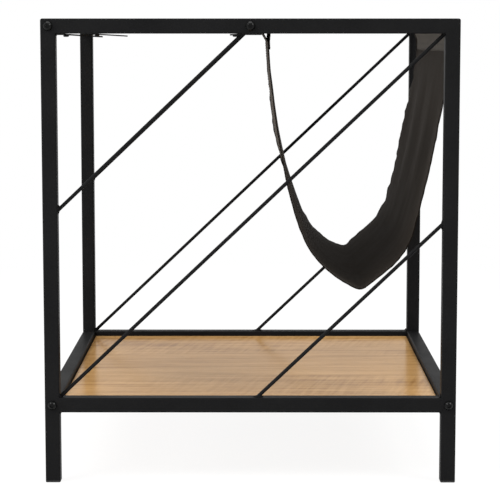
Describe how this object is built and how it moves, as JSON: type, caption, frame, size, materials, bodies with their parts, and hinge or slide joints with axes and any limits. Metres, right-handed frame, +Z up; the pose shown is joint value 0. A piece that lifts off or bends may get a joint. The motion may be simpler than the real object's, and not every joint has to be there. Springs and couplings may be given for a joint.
{
  "type": "side table with magazine sling",
  "caption": "Square-tube steel side table with a half top board, a low wooden shelf, diagonal wire braces and a deep cloth sling hung from bars to hold magazines.",
  "frame": {"origin": "on the floor, under the middle of the frame", "axes": "+Z up; +X to the sling's side; +Y from the pictured front frame to the rear frame"},
  "size_m": [0.444, 0.4506, 0.5],
  "materials": {
    "black_frame": "satin black powder coat",
    "oak_decor": "matt oak decor",
    "suede_cloth": "napped suede-like cloth",
    "black_bolt": "black oxide",
    "zinc_steel": "zinc plated",
    "foot_plastic": "matt black"
  },
  "bodies": {
    "root": {"centre_top_tube": "black_frame", "front_bolts": "black_bolt", "front_left_foot": "foot_plastic", "front_left_leg": "black_frame", "front_long_brace": "black_frame", "front_lower_brace": "black_frame", "front_right_foot": "foot_plastic", "front_right_leg": "black_frame", "front_shelf_rail": "black_frame", "front_top_rail": "black_frame", "front_upper_brace": "black_frame", "left_shelf_rail": "black_frame", "left_sling_bar": "black_frame", "left_top_rail": "black_frame", "rear_bolts": "black_bolt", "rear_left_foot": "foot_plastic", "rear_left_leg": "black_frame", "rear_long_brace": "black_frame", "rear_lower_brace": "black_frame", "rear_right_foot": "foot_plastic", "rear_right_leg": "black_frame", "rear_shelf_rail": "black_frame", "rear_top_rail": "black_frame", "rear_upper_brace": "black_frame", "right_shelf_rail": "black_frame", "right_sling_bar": "black_frame", "shelf_board": "oak_decor", "shelf_tabs": "black_frame", "sling": "suede_cloth", "threaded_end_plugs": "zinc_steel", "top_board": "oak_decor", "top_board_tabs": "black_frame"}
  },
  "joints": []
}
